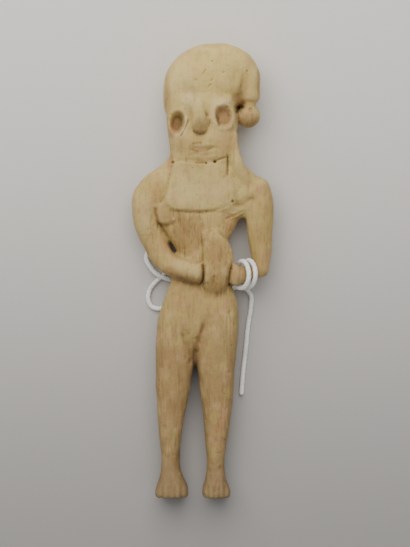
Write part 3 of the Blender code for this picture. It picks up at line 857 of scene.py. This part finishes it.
STAINS_AND_SHADE = (
    # The next two are painted shade on the nose's sloping front and underside.
    ((-0.7, 41.6), 2.0, 4.0, 0.0, 0.8),
    ((-0.7, 44.2), 1.8, 3.2, 0.0, 0.5),
    ((-5.6, 36.2), 2.4, 2.8, 0.0, 0.35),
    ((10.2, -0.6), 2.0, 3.0, 0.0, 0.6),
    ((6.0, 43.6), 2.0, 2.6, -14.0, 0.45),
    ((5.9, 45.8), 1.9, 1.5, 0.0, 0.4),
    # Painted shade in the left eye's hollow.
    ((-8.0, 41.4), 1.5, 2.6, 12.0, 0.6),
    ((-10.6, 15.8), 2.8, 2.6, 0.0, 0.85),
    ((13.6, 43.0), 3.6, 3.0, 0.0, 1.0),
    ((13.2, 45.4), 3.4, 2.6, 0.0, 0.5),
    ((4.4, -3.4), 4.0, 3.4, 0.0, 0.9),
    # Painted shade under the left breast.
    ((-10.2, 14.4), 2.6, 1.4, 0.0, 0.5),
    ((4.4, 5.0), 4.2, 6.0, 0.0, 0.9),
    ((-15.6, 8.0), 3.6, 11.0, 0.0, 0.32),
    ((16.2, 7.0), 3.4, 12.0, 0.0, 0.36),
    ((-8.9, -62.8), 5.6, 4.4, 0.0, 0.5),
    ((4.0, -62.8), 4.9, 4.4, 0.0, 0.5),
    ((-4.0, 11.0), 6.0, 6.4, 0.0, 1.0),
    ((2.6, 14.6), 4.0, 2.4, 0.0, 0.5),
    ((15.8, -0.6), 2.0, 2.6, 0.0, 0.3),
    ((-9.0, -30.0), 4.4, 12.0, 0.0, 0.30),
)

# Painted shade along creases and under edges: the mouth, the forearm, the infant, the crotch, the
# nose, the bib, the left breast, the armpits and the turban's roll. Each has a half width, a
# strength, then the places it runs through.
PAINTED_SHADE_LINE_REACH = 2.5
PAINTED_SHADE_LINES = (
    (0.60, 1.0, ((-2.8, 36.5), (-1.6, 36.7), (-0.4, 36.6))),
    (0.55, 0.8, ((-3.4, 34.9), (-1.6, 34.4), (0.9, 34.5), (3.0, 35.6))),
    (1.20, 1.3, ((-9.8, 0.2), (-7.4, -1.1), (-4.8, -2.2), (-2.4, -3.1), (-0.9, -3.8))),
    (0.80, 0.5, ((0.2, -5.4), (2.4, -6.2), (5.2, -6.3), (7.0, -4.8))),
    (0.70, 0.8, ((0.2, -16.4), (-0.6, -18.2), (-1.6, -20.4), (-2.6, -24.0))),
    (0.80, 0.6, ((-4.9, -20.2), (-4.0, -22.6), (-2.8, -24.6))),
    (0.55, 1.0, ((-2.4, 40.2), (-2.0, 39.7), (-0.8, 39.3), (0.4, 39.5), (1.2, 40.4))),
    (0.50, 0.7, ((-7.7, 17.3), (-5.1, 17.0), (-2.2, 16.7), (0.7, 16.8), (3.6, 17.3))),
    (0.60, 0.6, ((-7.7, 17.2), (-7.6, 15.4), (-8.5, 13.8), (-10.4, 13.0))),
    (1.00, 0.6, ((14.8, 21.3), (11.6, 19.2), (9.2, 18.6))),
    (0.75, 1.0, ((-13.4, 17.6), (-13.2, 14.7), (-11.6, 12.3), (-9.9, 9.2), (-8.0, 5.4))),
    (0.60, 0.6, ((11.9, 55.6), (11.2, 53.4), (10.4, 51.2))),
)
# Painted shade: in the eyes, under the nose and the forearm, in the hand's slit, the left arm's gap
# and the crotch, on the knob's lower side, in the gap by the knob and at the top of the right arm's
# gap.
PAINTED_SHADE_PATCHES = (
    ((-6.6, 42.3), 1.3, 2.6, 12.0, 0.42),
    ((4.4, 43.4), 0.5, 2.0, -14.0, 0.8),
    ((-0.7, 39.6), 1.9, 1.1, 0.0, 0.50),
    ((0.1, -2.2), 0.45, 2.4, 0.0, 0.9),
    ((-9.2, 7.4), 0.9, 2.2, -30.0, 0.8),
    ((-2.1, -25.6), 0.9, 2.1, 0.0, 0.85),
    ((-5.2, -2.6), 4.6, 1.0, 24.0, 0.35),
    ((14.6, 42.2), 1.9, 1.5, 0.0, 0.22),
    ((10.3, 46.8), 1.4, 1.6, 0.0, 1.0),
    ((11.6, 14.4), 0.9, 0.9, 0.0, 0.8),
)


def patches(clay, places, ragged):
    """How far each point is in one of the patches, whose edges are ragged."""
    depth = np.zeros(len(clay.points))
    for centre, half_width, half_height, lean, strength in places:
        reach = clay.oval(centre, half_width, half_height, lean) + ragged
        patch = strength * (1.0 - smooth_between(reach, *PATCH_EDGE)) * clay.front
        depth = np.maximum(depth, patch)
    return depth


def painted_shade_lines(clay, ragged):
    """How far each point of the front is in one of the lines of painted shade."""
    depth = np.zeros(len(clay.points))
    for half_width, strength, route in PAINTED_SHADE_LINES:
        route = np.array(route, float)
        reach = half_width * PAINTED_SHADE_LINE_REACH
        some = clay.near(route.min(axis=0) - reach, route.max(axis=0) + reach)
        gap, _ = to_line(clay.flat[some], route)
        line = strength * np.exp(-((gap / half_width) ** 2)) * (1.0 - ragged[some])
        depth[some] = np.maximum(depth[some], line * clay.front[some])
    return np.clip(depth, 0.0, 1.0)


def paint_figure(mesh):
    """Keeps what the clay's paint follows: hollows and creases for soil and painted shade, worn
    heights, patches, and lines of painted shade.
    """
    clay = Clay(mesh)
    edges = edges_of(mesh)
    near = spread(clay.points, edges, NEAR_TURNS)
    far = spread(near, edges, FAR_TURNS)
    fine = np.sum((near - clay.points) * clay.normals, axis=1)
    broad = np.sum((far - clay.points) * clay.normals, axis=1)
    # Soil and painted shade in the hollows and creases, and wear on the heights.
    paint(mesh, "hollow", smooth_between(broad, *HOLLOW_DEPTH))
    paint(mesh, "crease", smooth_between(fine, *CREASE_DEPTH))
    paint(mesh, "worn", smooth_between(-broad, *WORN_HEIGHT))
    ragged = clouds(clay.points, RAGGED_LAYERS)
    paint(mesh, "flush", patches(clay, FLUSHES, ragged))
    # Paler clay, and painted highlights on the eyes' rims, the face's edge and the left arm.
    paint(mesh, "pale", patches(clay, PALE_AND_HIGHLIGHT_PATCHES, ragged))
    # Painted shade in the darkest places.
    paint(mesh, "painted_shade", patches(clay, PAINTED_SHADE_PATCHES, ragged * PAINTED_SHADE_RAGGEDNESS))
    # Brown stains and painted shade share one layer.
    stain_and_shade = np.maximum(patches(clay, STAINS_AND_SHADE, ragged), painted_shade_lines(clay, ragged))
    paint(mesh, "stain_and_shade", stain_and_shade)


# Along the figure, in metres: where the clay turns browner toward the feet and dusky at them,
# both counted downward, and where it turns yellower toward the turban. Each is partly the clay's
# own colour and partly painted light and shade: lighter at the turban and darker at the legs and
# feet, as the main light falls off down the figure.
LEGS_FROM = (-0.022, 0.034)
FEET_FROM = (0.050, 0.061)
TURBAN_FROM = (0.040, 0.058)
SPECK_DEPTH = 0.00014
GRAIN_DEPTH = 0.00007


def fired_clay(settings):
    """Low-fired buff clay: mottled, browner down the legs partly as painted shade, lighter at the
    turban partly as painted light, with soil and painted shade in hollows and creases, painted shade
    under edges and painted highlights.
    """
    finish = Finish("fired clay", 0.9)
    place = finish.place()
    height = finish.node("ShaderNodeSeparateXYZ", inputs={"Vector": place}, output="Y")
    lower = finish.between(0.0 - height, *LEGS_FROM)
    feet = finish.between(0.0 - height, *FEET_FROM)
    upper = finish.between(height, *TURBAN_FROM)
    broad = finish.noise(place, 75.0, detail=4.0)
    warm = finish.noise(finish.stretched((1.3, 1.0, 1.0)), 190.0)
    green = finish.noise(finish.stretched((1.0, 0.7, 1.6)), 260.0)
    patchy = finish.noise(place, 210.0, detail=5.0, rough=0.6)
    strokes = finish.noise(finish.stretched((1100.0, 120.0, 500.0)), 1.0, detail=4.0, rough=0.6)
    specks = finish.noise(place, 1500.0, detail=4.0, rough=0.65)
    grains = finish.noise(place, 3800.0, detail=2.0)
    # Brown stains and painted shade, as kept on the mesh.
    stain_and_shade = finish.painted("stain_and_shade")
    streaky = lower * 0.20 + stain_and_shade * 0.38 + 0.18
    # Each layer goes over those before it: where it is, its share and its colour.
    layers = (
        (finish.between(broad, 0.38, 0.64), 1.00, settings.pale_colour),
        # Browner legs and a lighter turban, partly the clay and partly painted shade and light where
        # the light falls off.
        (lower, 0.95, settings.leg_colour),
        (upper, 0.45, settings.turban_colour),
        (finish.between(warm, 0.50, 0.66), 0.40, settings.warm_colour),
        (finish.between(green, 0.50, 0.66), 0.35, settings.olive_colour),
        (finish.between(patchy, 0.48, 0.72), 0.35, settings.brown_colour),
        (finish.painted("worn"), 0.25, settings.worn_and_highlight_colour),
        # Paler clay and painted highlights.
        (finish.painted("pale"), 0.60, settings.worn_and_highlight_colour),
        (finish.painted("flush"), 0.75, settings.flush_colour),
        # Brown stains, with painted shade.
        (stain_and_shade, 0.65, settings.brown_colour),
        # Dusky feet, partly the clay and partly painted shade.
        (feet, 0.55, settings.dusky_colour),
        (finish.between(strokes, 0.48, 0.70), streaky, settings.soil_and_shade_colour),
        (finish.between(specks, 0.56, 0.74), 0.20, settings.soil_and_shade_colour),
        (finish.between(grains, 0.60, 0.76), 0.15, settings.worn_and_highlight_colour),
        # Soil and painted shade in the hollows and creases.
        (finish.painted("hollow"), 0.50, settings.soil_and_shade_colour),
        (finish.painted("crease"), 0.50, settings.deep_soil_and_shade_colour),
        # Painted shade in the darkest places.
        (finish.painted("painted_shade"), 0.75, settings.deep_soil_and_shade_colour),
    )
    colour = settings.clay_colour
    for where, share, layer_colour in layers:
        colour = finish.mixed(where * share, colour, layer_colour)
    finish.feed("Base Color", colour)
    coarse = finish.bump(specks, SPECK_DEPTH)
    finish.feed("Normal", finish.bump(grains, GRAIN_DEPTH, under=coarse))
    return finish


def plain_paper(settings):
    """The pale matt sheet that the figure lies on, with painted shade darker toward the feet."""
    finish = Finish("studio sheet", 0.85)
    down = finish.node("ShaderNodeSeparateXYZ", inputs={"Vector": finish.place()}, output="Y")
    # Painted shade where the light falls off toward the feet.
    foot = finish.between(0.0 - down, *FLOOR_SHADE)
    finish.feed("Base Color", finish.mixed(foot, settings.floor_colour, settings.floor_shade_colour))
    return finish


def add_camera(settings):
    """A camera straight above, framed as the photograph is."""
    data = bpy.data.cameras.new("camera")
    data.sensor_fit = "VERTICAL"
    data.sensor_height = SENSOR_HEIGHT
    data.lens = SENSOR_HEIGHT * settings.camera_distance / (PHOTO_HEIGHT * MM_PER_PIXEL * MM)
    data.clip_start = CLIP_START
    camera = bpy.data.objects.new("camera", data)
    x, y = photo_place((PHOTO_WIDTH / 2, PHOTO_HEIGHT / 2))
    camera.location = (x * MM, y * MM, FACE_HEIGHT + settings.camera_distance)
    bpy.context.scene.collection.objects.link(camera)
    bpy.context.scene.camera = camera


def add_light(name, power, size, place, colour):
    """A square soft light that faces the middle of the figure."""
    data = bpy.data.lights.new(name, "AREA")
    data.energy = power
    data.size = size
    data.color = colour
    light = bpy.data.objects.new(name, data)
    light.location = place
    light.rotation_euler = (Vector((0, 0, 0)) - Vector(place)).to_track_quat("-Z", "Y").to_euler()
    bpy.context.scene.collection.objects.link(light)


def colour_prop(name, description, default):
    return FloatVectorProperty(
        name=name,
        description=description,
        subtype="COLOR",
        size=3,
        min=0.0,
        max=1.0,
        default=default,
    )


class StringSettings(PropertyGroup):
    """The tie string's sizes and colours."""

    diameter: FloatProperty(
        name="Diameter",
        description="Diameter of the string over its plies",
        default=STRING_DIAMETER,
        min=0.0005,
        unit="LENGTH",
    )
    ply_pitch: FloatProperty(
        name="Ply pitch",
        description="Length along the string in which a ply goes once round",
        default=0.0042,
        min=0.001,
        unit="LENGTH",
    )
    colour: colour_prop("Cotton", "Colour of the clean cotton", (0.94, 0.93, 0.91))
    # Used for the soiled stretches and for the painted shade between the fibres.
    soil_and_shade_colour: colour_prop("Soiled cotton", "Colour between the fibres", (0.76, 0.73, 0.67))


class FigureSettings(PropertyGroup):
    """The figure's working and colours."""

    mark_depth: FloatProperty(
        name="Depth of marks",
        description="How deep the strokes and pits are, as a share of their real depth",
        default=1.0,
        min=0.0,
        max=1.5,
        subtype="FACTOR",
    )
    weathering: FloatProperty(
        name="Weathering",
        description="How uneven and pocked the skin is, as a share of the real one",
        default=1.0,
        min=0.0,
        max=2.0,
        subtype="FACTOR",
    )
    clay_colour: colour_prop("Clay", "Main colour of the fired clay", (0.455, 0.308, 0.098))
    pale_colour: colour_prop("Pale clay", "Paler areas of the clay", (0.55, 0.41, 0.145))
    warm_colour: colour_prop("Warm clay", "Areas that fired pinker", (0.56, 0.32, 0.155))
    olive_colour: colour_prop("Greener clay", "Areas that fired greener", (0.46, 0.37, 0.095))
    # The legs', turban's and feet's colours also hold painted shade and light, as the main light
    # falls off down the figure.
    leg_colour: colour_prop("Clay of the legs", "Browner clay lower down", (0.315, 0.196, 0.074))
    turban_colour: colour_prop("Turban", "Clay of the turban", (0.75, 0.565, 0.170))
    # Brown for stained patches and for painted shade.
    brown_colour: colour_prop("Brown patches", "Stained patches", (0.27, 0.145, 0.045))
    # Used for rubbed heights, and for painted highlights.
    worn_and_highlight_colour: colour_prop("Worn clay", "Rubbed heights", (0.66, 0.51, 0.25))
    dusky_colour: colour_prop("Dusky clay", "Clay of the feet", (0.165, 0.112, 0.056))
    flush_colour: colour_prop("Pinker clay", "Where the skin is lost", (0.42, 0.20, 0.085))
    # Soil in the strokes and specks, and soil with painted shade in the hollows.
    soil_and_shade_colour: colour_prop("Soil", "Soil left in the hollows", (0.17, 0.09, 0.032))
    # Soil with painted shade in the creases, and painted shade in the darkest places.
    deep_soil_and_shade_colour: colour_prop("Deep soil", "Soil in the creases", (0.07, 0.034, 0.013))


class StageSettings(PropertyGroup):
    """The floor, the lights and the camera."""

    floor_colour: colour_prop("Floor", "Colour of the sheet at the turban", (0.70, 0.66, 0.615))
    # The floor's painted shade at the feet.
    floor_shade_colour: colour_prop("Floor below", "Colour of the sheet at the feet", (0.315, 0.295, 0.278))
    floor_size: FloatProperty(
        name="Floor size",
        description="Side of the square sheet under the figure",
        default=3.0,
        unit="LENGTH",
    )
    camera_distance: FloatProperty(
        name="Camera distance",
        description="From the camera down to the figure's front",
        default=CAMERA_DISTANCE,
        unit="LENGTH",
    )
    light_power: FloatProperty(
        name="Light",
        description="Power of the main light",
        default=3.1,
        unit="POWER",
    )


class FIGURE_OT_set_stage(Operator):
    """Sets the floor, the lights and the camera"""

    bl_idname = "figure.set_stage"
    bl_label = "Set the stage"

    def execute(self, context):
        settings = context.scene.stage_settings
        mesh = bpy.data.meshes.new("studio sheet")
        half = settings.floor_size / 2
        corners = [(-half, -half, 0), (half, -half, 0), (half, half, 0), (-half, half, 0)]
        mesh.from_pydata(corners, [], [(0, 1, 2, 3)])
        mesh.materials.append(plain_paper(settings).material)
        floor = bpy.data.objects.new("studio_sheet", mesh)
        floor.location = (0, 0, -FLOOR_GAP)
        context.scene.collection.objects.link(floor)
        world = bpy.data.worlds.new("studio air")
        world.use_nodes = True
        air = world.node_tree.nodes["Background"]
        air.inputs["Color"].default_value = (*AIR_COLOUR, 1.0)
        air.inputs["Strength"].default_value = AIR_STRENGTH
        context.scene.world = world
        for name, share, size, place, colour in LIGHTS:
            add_light(name, settings.light_power * share, size, place, colour)
        add_camera(settings)
        return {"FINISHED"}


class FIGURE_OT_add_string(Operator):
    """Lays the cotton string along its route round waist, elbow and wrist"""

    bl_idname = "figure.add_string"
    bl_label = "Add the string"

    def execute(self, context):
        settings = context.scene.string_settings
        route = np.array([Vector(place) for place in STRING_ROUTE] + wrist_turns()) * UNIT
        path = smooth_rows(route, round(path_length(route) / STRING_STEP))
        mesh = twisted_tube(path, settings.diameter / 2, settings.ply_pitch)
        piece = new_piece("cotton_string", mesh, cotton(settings))
        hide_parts(STRING_NODE)
        return {"FINISHED"}


class FIGURE_OT_add_figure(Operator):
    """Dresses the figure's solid in carved and weathered clay"""

    bl_idname = "figure.add_figure"
    bl_label = "Add the figure"

    def execute(self, context):
        settings = context.scene.figure_settings
        mesh = figure_mesh(settings)
        paint_figure(mesh)
        piece = new_piece("clay_figure", mesh, fired_clay(settings))
        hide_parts(FIGURE_NODE)
        return {"FINISHED"}


class FIGURE_PT_panel(Panel):
    """Lists the figure's settings and operators"""

    bl_label = "Terracotta figure"
    bl_idname = "FIGURE_PT_panel"
    bl_space_type = "VIEW_3D"
    bl_region_type = "UI"
    bl_category = "Figure"

    def draw(self, context):
        scene = context.scene
        rows = (
            (scene.stage_settings, FIGURE_OT_set_stage),
            (scene.string_settings, FIGURE_OT_add_string),
            (scene.figure_settings, FIGURE_OT_add_figure),
        )
        for settings, operator in rows:
            box = self.layout.box()
            for name in settings.__annotations__:
                box.prop(settings, name)
            box.operator(operator.bl_idname)


CLASSES = (
    StringSettings,
    FigureSettings,
    StageSettings,
    FIGURE_OT_set_stage,
    FIGURE_OT_add_string,
    FIGURE_OT_add_figure,
    FIGURE_PT_panel,
)


def register():
    for cls in CLASSES:
        bpy.utils.register_class(cls)
    bpy.types.Scene.string_settings = PointerProperty(type=StringSettings)
    bpy.types.Scene.figure_settings = PointerProperty(type=FigureSettings)
    bpy.types.Scene.stage_settings = PointerProperty(type=StageSettings)


def unregister():
    del bpy.types.Scene.stage_settings
    del bpy.types.Scene.figure_settings
    del bpy.types.Scene.string_settings
    for cls in reversed(CLASSES):
        bpy.utils.unregister_class(cls)


def main():
    register()
    bpy.ops.figure.set_stage()
    bpy.ops.figure.add_string()
    bpy.ops.figure.add_figure()


if __name__ == "__main__":
    main()
